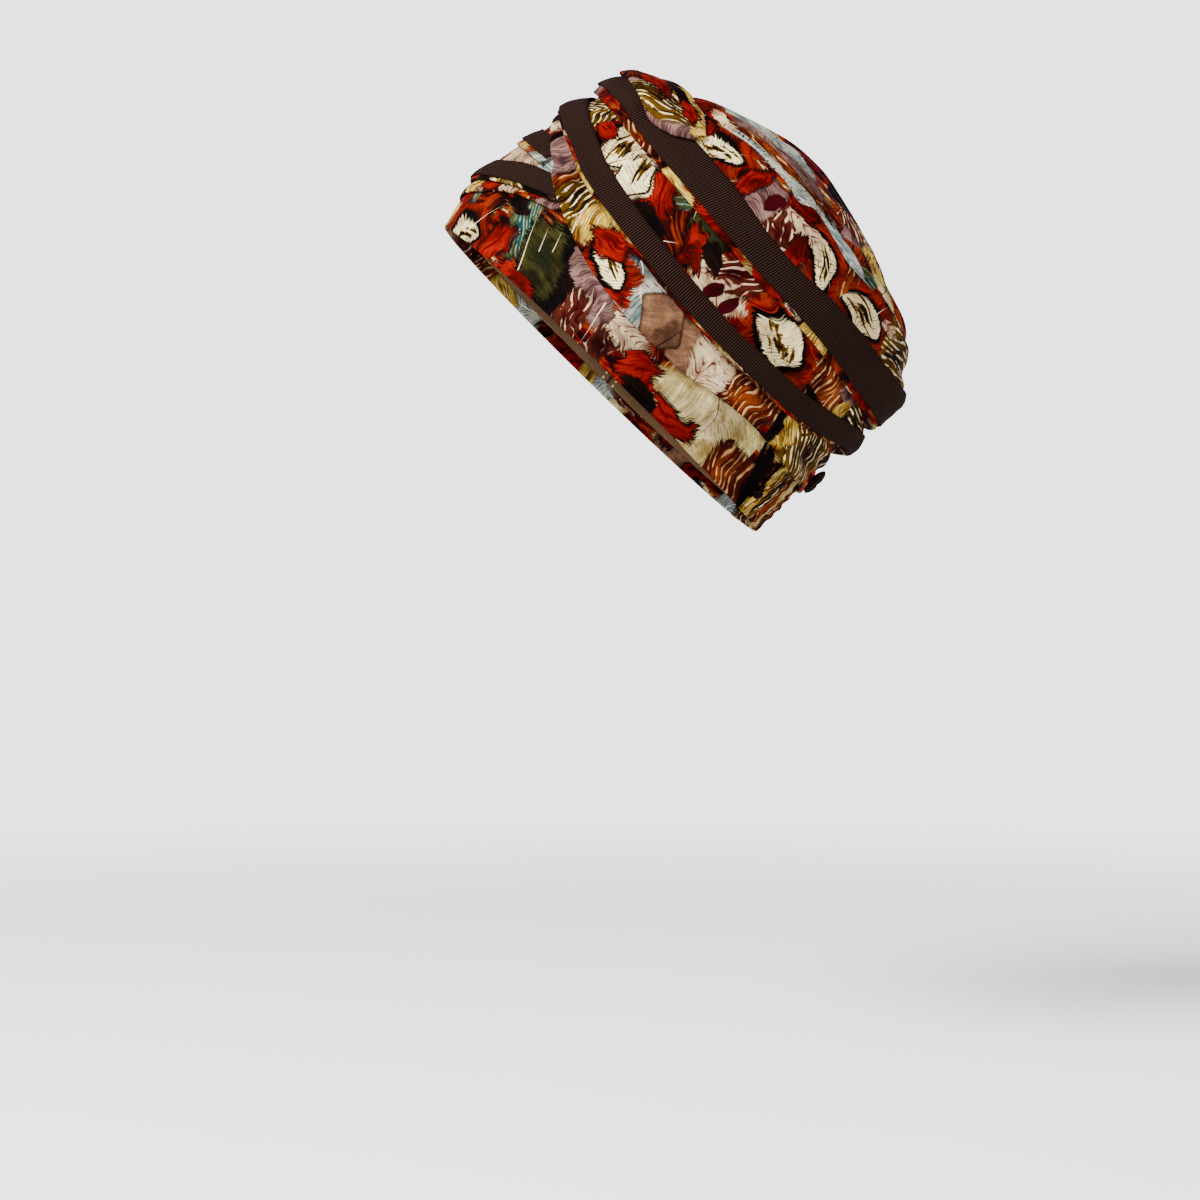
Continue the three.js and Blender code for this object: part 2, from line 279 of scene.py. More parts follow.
def colour(code):
    """A hex code as a cloth's own linear colour: deep tones stay deep under the bright studio light."""
    parts = [int(code[i:i + 2], 16) / 255 for i in (0, 2, 4)]
    linear = [c / 12.92 if c <= 0.04045 else ((c + 0.055) / 1.055) ** 2.4 for c in parts]
    grey = sum(linear) / 3
    depth = DARK_SHARE + LIGHT_SHARE * grey ** LIGHT_CURVE
    return tuple(max(BLACKEST, (grey + (c - grey) * RICHNESS) * depth) for c in linear)


class Web:
    """A short way to write a node tree. Numbers, colours and sockets can all be given as inputs."""

    def __init__(self, tree):
        self.tree = tree

    def node(self, kind, inputs=(), **settings):
        node = self.tree.nodes.new(kind)
        for name, value in settings.items():
            setattr(node, name, value)
        for name, value in dict(inputs).items():
            self.feed(node.inputs[name], value)
        return node

    def feed(self, socket, value):
        if isinstance(value, bpy.types.NodeSocket):
            self.tree.links.new(value, socket)
        else:
            socket.default_value = value

    def maths(self, operation, *values, clamp=False):
        node = self.node("ShaderNodeMath", operation=operation, use_clamp=clamp)
        for socket, value in zip(node.inputs, values):
            self.feed(socket, value)
        return node.outputs[0]

    def add(self, a, b):
        return self.maths("ADD", a, b)

    def times(self, a, b):
        return self.maths("MULTIPLY", a, b)

    def minus(self, a, b):
        return self.maths("SUBTRACT", a, b)

    def step(self, low, high, value):
        """0 below low and 1 above high, smooth between."""
        node = self.node("ShaderNodeMapRange", interpolation_type="SMOOTHSTEP")
        for name, given in (("Value", value), ("From Min", low), ("From Max", high)):
            self.feed(node.inputs[name], given)
        return node.outputs[0]

    def join(self, x, y, z=0.0):
        return self.node("ShaderNodeCombineXYZ", {"X": x, "Y": y, "Z": z}).outputs[0]

    def split(self, vector):
        return list(self.node("ShaderNodeSeparateXYZ", {"Vector": vector}).outputs)

    def noise(self, vector, scale=1.0, detail=2.0):
        made = self.node("ShaderNodeTexNoise", {"Vector": vector, "Scale": scale, "Detail": detail})
        return made.outputs["Fac"]

    def mix(self, share, a, b, blend="MIX"):
        node = self.node("ShaderNodeMix", data_type="RGBA", blend_type=blend)
        self.feed(node.inputs["Factor"], share)
        for socket, value in ((node.inputs[6], a), (node.inputs[7], b)):
            self.feed(socket, (*value, 1) if isinstance(value, tuple) else value)
        return node.outputs[2]

    def ramp(self, share, stops, interpolation="LINEAR"):
        node = self.node("ShaderNodeValToRGB", {"Fac": share})
        ramp = node.color_ramp
        ramp.interpolation = interpolation
        ramp.elements[0].position, ramp.elements[0].color = stops[0][0], (*stops[0][1], 1)
        ramp.elements[1].position, ramp.elements[1].color = stops[-1][0], (*stops[-1][1], 1)
        for place, value in stops[1:-1]:
            ramp.elements.new(place).color = (*value, 1)
        return node.outputs[0]


def new_group(name, inputs, outputs):
    tree = bpy.data.node_groups.new(name, "ShaderNodeTree")
    for label, kind in inputs:
        tree.interface.new_socket(label, in_out="INPUT", socket_type=f"NodeSocket{kind}")
    for label, kind in outputs:
        tree.interface.new_socket(label, in_out="OUTPUT", socket_type=f"NodeSocket{kind}")
    return Web(tree), tree


# ---------------------------------------------------------------- the feather print

# Each motif is an oval about a shaft, in four zones from the middle out: core, ring, body and edge. The
# "shaft" and "line" motifs are a bare shaft, with no oval.
# Columns: name, core, core flecks, ring, body, body streaks, edge, barb lines, shaft.
MOTIF_COLOURS = [
    ("eye", "ecdcae", "8a6418", "100a09", "8a0e18", "c8441c", "160a0a", "6a5024", "f0e8d8"),
    ("spot", "ecdcae", "8a6418", "17100f", "e8d6a8", "8a6418", "100a09", "6a5024", "f0e8d8"),
    ("red", "b8211a", "d9532a", "c2301c", "820c16", "c03c1c", "1c0708", "240708", "f0e4d0"),
    ("ember", "8f2318", "c9502a", "3b1512", "b84a1c", "4c1610", "150c0a", "150b0a", "e8d8c0"),
    ("leaf", "3c4028", "6e7442", "37402a", "444226", "5e5c34", "0e0d0c", "1b1a10", "e9e6cf"),
    ("teal", "3f7f84", "d8dcc0", "2f6f76", "315e5c", "6c6c40", "142624", "b8c8a8", "f1eee0"),
    ("mauve", "8a6477", "c99aa0", "7b5566", "85605f", "b89488", "2c181e", "2c1a1c", "eadfe0"),
    ("maroon", "4c141c", "7d2a2c", "3a0f16", "521418", "8a4a3c", "1e080c", "f0cfae", "f4e2d0"),
    ("pale", "e8dfb4", "d8cf84", "e9e1bd", "dccda0", "b8a85c", "9a7038", "7a6438", "5a2c1a"),
    ("fan", "d5d8d6", "9fb6ba", "c3cccb", "cbc4b0", "a3a496", "3a6c74", "2e3a38", "ece8dc"),
    ("tan", "a9774f", "8a5a3a", "9a6b4a", "b88f70", "8a6656", "4c3024", "3f261c", "e2cdb4"),
    ("vein", "efe4d8", "f2eadf", "eadccd", "e0cca8", "b87a58", "6a2a1c", "7c2418", "a83426"),
    ("gold", "c8842c", "f0dc9c", "b2691f", "9c6a20", "dcb860", "3c200e", "eedca4", "f3ead0"),
    ("stripe", "43301c", "d9c794", "2a1a12", "2c1c12", "8a6428", "120c0a", "eedcb0", "f0e6c8"),
    ("black", "17110f", "33211a", "17110f", "150e0d", "2a1a15", "0e0a09", "3c261c", "efe6d6"),
    ("sky", "8fa9aa", "c9d2cc", "7f9c9e", "93a5a2", "c9c8b8", "3c7078", "2c4c54", "eceade"),
    ("rust", "b9541f", "8c3a18", "a1461c", "b0561c", "6c2a12", "2c120a", "ecc48e", "f4e8d4"),
    ("shaft", "e8dcc0", "e8dcc0", "e8dcc0", "e8dcc0", "e8dcc0", "e8dcc0", "e8dcc0", "ecdfc2"),
    ("petal", "4a0f19", "5d1620", "47101a", "4d121c", "651c26", "2c0a10", "2c0a10", "4a0f19"),
    ("line", "17100f", "17100f", "17100f", "17100f", "17100f", "17100f", "17100f", "17100f"),
]

# Columns: name, core, ring and body radius; fringe, barb slant (sine), barb pitch in mm; line strength, half
# width of the shaft in mm, streak strength; flecks, waviness, reach of the oval; bluntness, unevenness, fade.
MOTIF_SHAPES = [
    ("eye", 0.52, 0.69, 0.98, 0.34, 0.6, 1.3, 0.75, 0, 0.8, 1, 0.2, 1, 2.3, 0.45, 0.25),
    ("spot", 0.82, 0.92, 0.94, 0.14, 0.6, 1.4, 0.75, 0, 0.4, 1, 0.2, 1, 3.4, 0.34, 0.1),
    ("red", 0, 0, 0.8, 0.5, 0.95, 1.3, 0.5, 0, 0.9, 0, 0.3, 1, 2.6, 0.5, 0.7),
    ("ember", 0, 0, 0.8, 0.5, 0.9, 1.5, 0.7, 0, 1, 0, 0.5, 1, 2.6, 0.5, 0.7),
    ("leaf", 0.2, 0.3, 0.86, 0.34, 0.6, 2.6, 0.35, 0, 0.7, 0, 0.4, 1, 2.3, 0.25, 0.5),
    ("teal", 0, 0, 0.9, 0.4, 0.98, 1.9, 0.5, 0, 1, 0, 0.4, 1, 3, 0.4, 0.5),
    ("mauve", 0, 0, 0.95, 0.25, 0.15, 1.15, 0.75, 0, 0.7, 0, 0.2, 1, 3.5, 0.3, 0.5),
    ("maroon", 0, 0, 0.95, 0.5, 0.92, 3.6, 0.95, 0, 0.6, 0, 0.35, 1, 2.6, 0.5, 0.4),
    ("pale", 0, 0, 0.95, 0.3, 0.75, 1.05, 0.55, 0.45, 0.6, 0, 0.15, 1, 4, 0.2, 0.35),
    ("fan", 0, 0, 0.93, 0.12, 0.7, 1.6, 1, 0.3, 0.6, 0, 0.1, 1, 4, 0.2, 0.4),
    ("tan", 0, 0, 0.93, 0.05, 0.1, 3, 0.15, 0, 0.5, 0, 0.4, 1, 7, 0.1, 0.6),
    ("vein", 0, 0, 0.97, 0.4, 0.65, 2.1, 0.9, 0.3, 0.3, 0, 0.25, 1, 2.6, 0.4, 0.3),
    ("gold", 0, 0, 0.93, 0.35, 0.85, 1.5, 0.85, 0, 0.9, 0, 0.3, 1, 2.8, 0.4, 0.5),
    ("stripe", 0, 0, 1, 0.2, 0.98, 2.6, 1, 0, 0.9, 0, 0.5, 1, 4, 0.3, 0.3),
    ("black", 0, 0, 1, 0.45, 0.9, 1.6, 0.3, 0, 0.5, 0, 0.4, 1, 2.4, 0.5, 0.2),
    ("sky", 0, 0, 0.95, 0.3, 0.75, 1.3, 0.8, 0.35, 0.9, 0, 0.3, 1, 3, 0.3, 0.4),
    ("rust", 0, 0, 0.9, 0.4, 0.95, 3.4, 0.8, 0, 1, 0, 0.4, 1, 3, 0.4, 0.6),
    ("shaft", 0, 0, 1, 0, 0.5, 2, 0, 0.3, 0, 0, 0, 0, 2, 0, 0),
    ("petal", 0, 0, 0.95, 0.1, 0.9, 1.6, 0.2, 0, 0.4, 0, 0.2, 1, 2.2, 0.3, 0.3),
    ("line", 0, 0, 1, 0, 0.5, 2, 0, 0.35, 0, 0, 0, 0, 2, 0, 0),
]
MOTIFS = [row[0] for row in MOTIF_COLOURS]
RAMP_STOPS = 32
# A ramp's colours stay between 0 and 1, so two of the columns are stored smaller.
PITCH_SHARE = 4
BLUNT_SHARE = 10


def plume_group():
    """One motif: its colour and mask from its place (along, across, seed) and size (halves in mm, motif)."""
    web, tree = new_group(
        "plume", [("place", "Vector"), ("size", "Vector")], [("colour", "Color"), ("mask", "Float")])
    add, times, minus = web.add, web.times, web.minus
    step, mix, maths = web.step, web.mix, web.maths
    given = web.node("NodeGroupInput")
    p, q, seed = web.split(given.outputs["place"])
    half_length, half_width, motif = web.split(given.outputs["size"])
    key = times(add(motif, 0.5), 1 / RAMP_STOPS)

    def look_up(values):
        return web.ramp(key, [(i / RAMP_STOPS, value) for i, value in enumerate(values)], "CONSTANT")

    def grain(x, x_scale, y, y_scale, shift, detail=2.0):
        """Noise stretched by two scales, different for each seed and shift."""
        place = web.join(times(x, x_scale), times(y, y_scale), add(seed, shift))
        return web.noise(place, detail=detail)

    core, flecks, ring, body, streaks, edge, lines, shaft = [
        look_up([colour(row[i]) for row in MOTIF_COLOURS]) for i in range(1, 9)]
    core_edge, ring_edge, body_edge = web.split(look_up([row[1:4] for row in MOTIF_SHAPES]))
    fringe, slant, pitch = web.split(look_up([(*row[4:6], row[6] / PITCH_SHARE) for row in MOTIF_SHAPES]))
    line_share, shaft_half, streak_share = web.split(look_up([row[7:10] for row in MOTIF_SHAPES]))
    fleck_share, waves, reach = web.split(look_up([row[10:13] for row in MOTIF_SHAPES]))
    blunt, uneven, fade = web.split(look_up([(row[13] / BLUNT_SHARE, *row[14:16]) for row in MOTIF_SHAPES]))
    blunt = times(blunt, BLUNT_SHARE)

    # An uneven outline: the place is pushed about a little before anything is drawn.
    spot = web.join(times(p, 1.1), times(q, 1.1), seed)
    push = web.node("ShaderNodeTexNoise", {"Vector": spot, "Scale": 1.0, "Detail": 0.0})
    push_p, push_q, _ = web.split(push.outputs["Color"])
    p = add(p, times(minus(push_p, 0.5), times(uneven, 2)))
    q = add(q, times(minus(push_q, 0.5), times(uneven, 2)))

    # Barbs leave the shaft at a slant: 'barb' tells one barb from the next and 'out' runs along each. Where
    # no shaft is drawn, the line that they leave from is moved aside.
    along = times(p, half_length)
    lean = times(minus(maths("FRACT", times(seed, 0.27)), 0.5), 2.2)
    lean = times(lean, maths("LESS_THAN", shaft_half, 0.01))
    aside = maths("ABSOLUTE", times(add(q, lean), half_width))
    straight = maths("SQRT", minus(1, times(slant, slant)))
    barb = minus(times(along, straight), times(aside, slant))
    out = add(times(along, slant), times(aside, straight))
    sway = minus(grain(out, 0.06, barb, 0.04, 0, 0), 0.5)
    barb = add(barb, times(sway, add(times(waves, 3), 1)))

    # The distance from the middle, 1 at the oval's edge, with the barbs' ends ragged round it.
    hairs = minus(grain(barb, 2.3, out, 0.12, 0, 3), 0.5)
    tufts = minus(grain(barb, 0.3, out, 0.12, 3), 0.5)
    tufts = add(times(hairs, 2.3), times(tufts, 0.6))
    powers = [maths("POWER", maths("ABSOLUTE", share), blunt) for share in (p, q)]
    radius = maths("POWER", add(*powers), maths("DIVIDE", 1, blunt))
    ragged = add(radius, times(tufts, fringe))
    calmer = add(add(radius, times(p, 0.12)), times(times(tufts, fringe), 0.4))

    # Streaks and shade run along the barbs, and flecks lie across the core.
    wash = grain(barb, 0.75, out, 0.06, 5, 4)
    outer = times(step(ring_edge, body_edge, ragged), 0.22)
    streaked = times(step(0.5, 0.66, add(wash, outer)), streak_share)
    shade = grain(barb, 0.12, out, 0.09, 17, 3)
    slope = add(times(q, half_width), times(along, 0.28))
    speck = grain(slope, 0.62, along, 0.13, 9)
    middle = minus(1, maths("DIVIDE", calmer, maths("MAXIMUM", core_edge, 0.05)))
    speck = add(speck, times(minus(middle, 0.45), 0.3))
    flecked = times(step(0.5, 0.55, speck), fleck_share)
    inked = times(step(0.6, 0.62, speck), fleck_share)

    # Broken lines between the barbs.
    jitter = grain(barb, 0.14, out, 0.05, 21, 0)
    turns = maths("DIVIDE", times(barb, 2 * math.pi / PITCH_SHARE), maths("MAXIMUM", pitch, 0.05))
    wave = maths("SINE", add(turns, times(jitter, 6)))
    breaks = grain(out, 0.22, barb, 0.4, 13)
    lined = step(0.45, 1.0, add(wave, times(minus(breaks, 0.55), 3.6)))
    lined = times(lined, line_share)

    # The zones, laid from the outside in, and the shaft over them.
    inner = mix(inked, mix(flecked, core, flecks), ring)
    fill = mix(lined, mix(streaked, body, streaks), lines)
    made = mix(step(-0.08, 0.06, minus(ragged, body_edge)), fill, edge)
    made = mix(times(step(0.46, 0.7, shade), 0.75), made, edge)
    made = mix(times(step(0.1, 1.1, p), fade), made, edge)
    made = mix(step(-0.025, 0.025, minus(ring_edge, calmer)), made, ring)
    inner = mix(lined, inner, lines)
    made = mix(step(-0.025, 0.025, minus(core_edge, calmer)), made, inner)

    thin = times(shaft_half, minus(1.2, times(add(p, 1), 0.5)))
    bent = maths("ABSOLUTE", add(times(q, half_width), times(sway, 2.5)))
    on_shaft = times(step(0, 0.2, minus(thin, bent)), step(0, 0.05, minus(0.97, radius)))
    made = mix(on_shaft, made, shaft)
    covered = step(-0.05, 0.05, minus(reach, ragged))
    given_out = web.node("NodeGroupOutput")
    web.feed(given_out.inputs["colour"], made)
    web.feed(given_out.inputs["mask"], maths("MAXIMUM", covered, on_shaft))
    return tree


def ground_group():
    """The painted ground between motifs: dark, rust and mauve washes in long soft strokes."""
    web, tree = new_group("ground", [("place", "Vector")], [("colour", "Color")])
    given = web.node("NodeGroupInput")
    x, y, z = web.split(given.outputs["place"])
    strokes = web.join(web.times(x, 60), web.times(web.add(y, z), 190), web.times(web.minus(y, z), 50))
    broad = web.noise(strokes, detail=3)
    fine = web.noise(web.join(web.times(x, 160), web.times(web.add(y, z), 900), web.times(z, 200)), detail=3)
    blend = web.add(web.times(broad, 0.75), web.times(fine, 0.25))
    made = web.ramp(blend, [
        (place, colour(code)) for place, code in (
            (0, "1a1211"), (0.4, "241513"), (0.45, "6a1916"), (0.49, "a8281a"), (0.52, "c4562a"),
            (0.55, "4c2c1e"), (0.59, "b98a58"), (0.62, "e0cba8"), (0.66, "5b2a30"), (0.75, "7b5868"),
            (1, "2d1712"))
    ])
    web.feed(web.node("NodeGroupOutput").inputs["colour"], made)
    return tree


PLUME = plume_group()
GROUND = ground_group()
PRINT_LAYERS = ("under", "middle", "over")


def new_material(name, **finish):
    """A material, its nodes and its shader, with the shader's plain values set."""
    material = bpy.data.materials.new(name)
    material.use_nodes = True
    shader = material.node_tree.nodes["Principled BSDF"]
    for label, value in finish.items():
        shader.inputs[label.replace("_", " ")].default_value = value
    return material, Web(material.node_tree), shader


def woven_relief(web, shader, height, strength):
    """Feeds the shader a normal from the weave's fine relief."""
    bump = web.node("ShaderNodeBump", {"Height": height, "Strength": strength, "Distance": RELIEF_DEPTH})
    web.feed(shader.inputs["Normal"], bump.outputs["Normal"])


def print_material():
    """Printed cotton: the ground, three layers of motifs, and two sizes of dark mottling over them."""
    material, web, shader = new_material("printed cotton", Roughness=0.75, IOR=CLOTH_IOR)
    place = web.node("ShaderNodeTexCoord").outputs["Object"]
    ground = web.node("ShaderNodeGroup", node_tree=GROUND)
    web.feed(ground.inputs["place"], place)
    made = ground.outputs["colour"]
    for layer in PRINT_LAYERS:
        plume = web.node("ShaderNodeGroup", node_tree=PLUME)
        for part in ("place", "size"):
            read = web.node("ShaderNodeAttribute", attribute_name=f"{layer}_{part}")
            web.feed(plume.inputs[part], read.outputs["Vector"])
        made = web.mix(plume.outputs["mask"], made, plume.outputs["colour"])
    mottle = web.ramp(web.noise(place, MOTTLE_SCALE, 4), [(0.34, (0.5, 0.5, 0.5)), (0.62, (1, 1, 1))])
    cloud = web.ramp(web.noise(place, 60, 3), [(0.38, (0.36, 0.3, 0.3)), (0.6, (1, 1, 1))])
    made = web.mix(0.75, web.mix(0.5, made, mottle, "MULTIPLY"), cloud, "MULTIPLY")
    web.feed(shader.inputs["Base Color"], made)
    woven_relief(web, shader, web.noise(place, WEAVE_SCALE, 2), 0.35)
    return material


# The first colour is painted shade: the grooves between the ribs are laid near black. The second is the
# ribbon's own brown on the ribs, and the third is a darker tone that comes and goes at random.
RIBBON_PAINTED_GROOVE_SHADE = (0.0006, 0.0004, 0.0003)
RIBBON_RIB = (0.0205, 0.0098, 0.007)
RIBBON_SHADE = (0.0035, 0.0018, 0.0014)


def ribbon_material():
    """Dark brown grosgrain, with close ribs across the ribbon, and painted shade in the grooves between them.
    """
    material, web, shader = new_material("grosgrain ribbon", Roughness=0.8, IOR=CLOTH_IOR)
    along, across, _ = web.split(web.node("ShaderNodeUVMap", uv_map="flat").outputs[0])
    waver = web.noise(web.join(web.times(along, 0.5), web.times(across, 0.4)))
    phase = web.add(web.times(along, 2 * math.pi / RIB_PITCH), web.times(waver, 1.2))
    rib = web.add(web.times(web.maths("SINE", phase), 0.5), 0.5)
    tone = web.noise(web.join(web.times(along, 0.12), web.times(across, 0.3)), detail=3)
    # Painted shade: the grooves between the ribs are near black and the rib tops brown.
    made = web.mix(web.step(0.3, 0.95, rib), RIBBON_PAINTED_GROOVE_SHADE, RIBBON_RIB)
    made = web.mix(web.times(tone, 0.2), made, RIBBON_SHADE)
    web.feed(shader.inputs["Base Color"], made)
    fuzz = web.noise(web.join(web.times(along, 3), web.times(across, 6)), detail=2)
    woven_relief(web, shader, web.add(rib, web.times(fuzz, 0.3)), 0.7)
    return material


def knot_material():
    """Plain brown cloth, mottled darker."""
    material, web, shader = new_material("brown cloth", Roughness=0.85, IOR=CLOTH_IOR)
    place = web.node("ShaderNodeTexCoord").outputs["Object"]
    base = colour("3a2520")
    mottle = web.times(web.noise(place, MOTTLE_SCALE, 3), 0.6)
    web.feed(shader.inputs["Base Color"], web.mix(mottle, base, tuple(c * 0.4 for c in base)))
    woven_relief(web, shader, web.noise(place, WEAVE_SCALE, 2), 0.4)
    return material


def lining_material():
    """A plain brown lining with stitched seams up its front, back and sides."""
    material, web, shader = new_material("brown lining", Roughness=0.9, IOR=CLOTH_IOR)
    place = web.node("ShaderNodeTexCoord").outputs["Object"]
    along, across, _ = web.split(web.node("ShaderNodeUVMap", uv_map="flat").outputs[0])
    aside = web.maths("PINGPONG", along, SEAM_SPACE / 2)
    groove = web.step(1.1, 0.2, aside)
    dash = web.step(-0.2, 0.2, web.maths("SINE", web.times(across, 2.2)))
    beside = web.step(0.5, 0.2, web.maths("ABSOLUTE", web.minus(aside, STITCH_ASIDE)))
    stitch = web.times(web.times(beside, dash), 0.8)
    knit = web.noise(web.join(web.times(along, 1.6), web.times(across, 4.5)), detail=3)
    mottle = web.noise(place, 45, 3)
    made = web.mix(mottle, colour("a08468"), colour("7c6048"))
    made = web.mix(web.times(knit, 0.5), made, colour("5c4434"))
    made = web.mix(web.times(groove, 0.8), made, colour("2c1e17"))
    made = web.mix(stitch, made, colour("d8c4a4"))
    web.feed(shader.inputs["Base Color"], made)
    relief = web.minus(web.add(web.times(knit, 0.4), stitch), web.times(groove, 2))
    woven_relief(web, shader, relief, 0.6)
    return material


print_face = print_material()
ribbon_look = ribbon_material()
knot_look = knot_material()
lining_look = lining_material()

# Where each motif lies, piece by piece and layer by layer. The heading is the way its shaft points: 0 towards
# the wearer's back on the left side, 90 up to the crown. Sizes are half the length and half the width, in mm.
# Columns: motif, turn, height, heading, half length, half width.
MOTIF_PLACES = {
    "rim": {
        "under": [
            ("ember", 31, 19, 60, 13, 11), ("teal", 49.5, 21, -60, 17, 10),
            ("black", 69, 15, -60, 22, 13), ("pale", 121, 15, -56, 22, 38), ("red", 12, 12, 40, 14, 12),
        ],
        "middle": [
            ("eye", 30, 2, 5, 17, 14), ("leaf", 61.5, 15, -55, 20, 13), ("mauve", 77, 20, -27, 19, 7),
            ("vein", 92, 16, 0, 14, 7),
        ],
        "over": [
            ("shaft", 35, 13, 59, 12, 3), ("teal", 22, 20, -60, 7, 4), ("red", 45, 8, 70, 10, 8),
            ("black", 43, 27, 0, 7, 5), ("shaft", 54, 18, 113, 15, 3), ("shaft", 57.5, 22, 112, 6, 3),
            ("shaft", 61, 25, 105, 5, 3), ("red", 58, 1, 0, 14, 5), ("maroon", 77, 8, 95, 11, 7),
            ("maroon", 87, 5, 80, 9, 7), ("shaft", 82.5, 10, -80, 11, 3), ("red", 98, 10, 20, 11, 6),
            ("black", 103, 3, -8, 13, 4.5), ("red", 113, 4, -5, 13, 7), ("rust", 137, 5, 100, 13, 14),
            ("black", 146, 15, -62, 16, 5), ("gold", 10, 5, 20, 9, 6),
        ],
    },
    "nape": {
        "under": [("stripe", 160, 14, 90, 24, 22), ("stripe", -165, 14, 90, 24, 22)],
        "middle": [
            ("gold", 153, 14, 90, 20, 4.5), ("rust", 163, 12, 88, 20, 4), ("ember", 173, 14, 90, 20, 4),
            ("gold", -172, 14, 90, 20, 3), ("rust", -160, 14, 92, 20, 5),
        ],
        "over": [("pale", 166.5, 12, 90, 18, 2.4)],
    },
    "left_low": {
        "under": [
            ("stripe", 57, 43, 98, 14, 11), ("fan", 87, 32, -45, 17, 15), ("tan", 103, 29, -50, 13, 8),
            ("rust", 125, 34, 80, 11, 18), ("stripe", 154, 38, 110, 16, 18),
        ],
        "middle": [
            ("mauve", 41, 51, -28, 17, 9), ("gold", 64.5, 42, 80, 10, 8),
            ("eye", 76.5, 32.5, -20, 15, 11), ("tan", 94.5, 31, -50, 12, 9.5),
            ("vein", 113, 31, 60, 9, 7), ("gold", 140.5, 37, 110, 9, 7),
        ],
        "over": [
            ("vein", 23, 61, 60, 9, 7), ("black", 31, 58, 110, 8, 3), ("rust", 50, 46, 85, 10, 4),
            ("shaft", 61, 41, 105, 10, 3), ("red", 72, 40, -10, 10, 7), ("line", 99, 30, 75, 11, 2),
            ("vein", 108.5, 32, 110, 11, 6), ("black", 137, 36, 100, 9, 3),
        ],
    },
    "left_middle": {
        "under": [
            ("black", 47, 75, -60, 13, 10), ("black", 66, 70, 80, 13, 8), ("ember", 79, 65, -50, 16, 11),
            ("vein", 98, 58, 10, 14, 9), ("rust", 142, 61, 70, 15, 18),
        ],
        "middle": [
            ("stripe", 22, 81, 20, 14, 8), ("spot", 50.5, 73.5, -62, 13, 11.5),
            ("red", 70, 68.5, -60, 14, 8), ("leaf", 86, 72, 5, 12, 7.5), ("maroon", 99, 68, 25, 13, 8),
            ("eye", 120, 59.5, -14, 24, 13), ("stripe", 162, 67, -12, 19, 8),
        ],
        "over": [
            ("stripe", 34, 79, -45, 9, 7), ("red", 41, 75.5, -20, 8, 5.5),
            ("spot", 60.5, 68.5, -60, 12, 9.5), ("line", 55, 71, 55, 11, 2),
            ("shaft", 61.5, 78, 30, 5, 3), ("teal", 76, 76, 30, 8, 4.5), ("shaft", 79, 74, -70, 4.5, 3),
            ("black", 75, 56, -20, 13, 5), ("shaft", 81, 57, 30, 4.5, 3), ("red", 86, 61, -60, 12, 6),
            ("black", 91, 65, -30, 8, 4), ("petal", 97.5, 55, 60, 5.5, 2.8),
            ("petal", 103, 55, 75, 5.5, 2.8), ("black", 141, 54.5, -8, 10, 3.2),
            ("shaft", 145, 60, 100, 7.5, 3), ("mauve", 150.5, 69, 0, 8, 4.5),
            ("gold", 153, 61, 60, 7, 4.5), ("black", 161, 58, -5, 9, 4), ("red", 171, 70, -10, 8, 3),
        ],
    },
    "left_pleat": {
        "middle": [
            ("stripe", 14, 106, 0, 18, 6), ("black", 37, 105.5, 0, 13, 4), ("stripe", 41, 96, 20, 18, 9),
        ],
        "over": [
            ("red", 33, 101, -10, 17, 4.5), ("gold", 43, 109, 0, 10, 3.5), ("red", 49, 103, -20, 8, 4),
        ],
    },
    "left_top": {
        "under": [("rust", 74, 98, 85, 12, 8), ("rust", 121, 95, 90, 12, 9)],
        "middle": [
            ("eye", 65, 100.5, 8, 19, 13), ("mauve", 86, 98, 90, 12, 8), ("vein", 101, 101, -10, 12, 6),
            ("eye", 111, 96, -30, 18, 13), ("eye", 132, 95.5, -6, 20, 13),
            ("stripe", 158, 96, -8, 22, 10),
        ],
        "over": [
            ("shaft", 51.5, 101, -80, 11, 3), ("red", 56, 102, 90, 10, 5), ("shaft", 68.5, 103, 50, 7, 3),
            ("red", 79.5, 101, 90, 11, 6.5), ("petal", 88.5, 100, 70, 6, 3.8),
            ("maroon", 95.5, 93, 100, 9, 6), ("red", 96, 107, 0, 9, 4), ("red", 102.5, 92, 100, 9, 5),
            ("shaft", 113.5, 95, -45, 7, 3), ("line", 134, 95, 65, 6.5, 2), ("shaft", 137, 102, 55, 6, 3),
            ("vein", 144.5, 100, 0, 7, 2.5),
        ],
    },
    "crown": {
        "under": [("fan", 86, 114.5, -4, 34, 8), ("red", 25, 118, 0, 16, 8), ("sky", 60, 126, 10, 26, 10)],
        "middle": [("rust", 85, 118.5, -3, 36, 3.2), ("mauve", 124, 116.5, 10, 9, 5)],
        "over": [
            ("mauve", 78, 122, 0, 30, 5.5), ("sky", 110, 109.5, -12, 26, 8),
            ("line", 100, 115.5, -14, 9, 2), ("line", 107, 114, -20, 8, 2), ("petal", 120, 119, 20, 4, 2),
            ("teal", 130, 109, -10, 7, 3.5), ("red", 135, 108, -5, 6, 2.5), ("red", 36, 114, -20, 12, 5),
            ("vein", 52, 114.5, -15, 10, 3),
        ],
    },
    "right_low": {
        "middle": [("rust", 42, 33, 60, 8, 8)],
        "over": [
            ("gold", 17, 22, 40, 8, 6), ("red", 27, 27, 15, 10, 5), ("vein", 35, 30.5, 20, 7, 4),
            ("red", 46, 35, 30, 5, 3), ("mauve", 51, 36, 30, 7, 4),
        ],
    },
    "right_middle": {
        "over": [("vein", 21, 44, 10, 12, 7), ("vein", 32, 46, 0, 8, 5), ("sky", 39, 47, 0, 9, 4)],
    },
    "right_top": {
        "over": [("rust", 19, 60, 30, 9, 7)],
    },
}

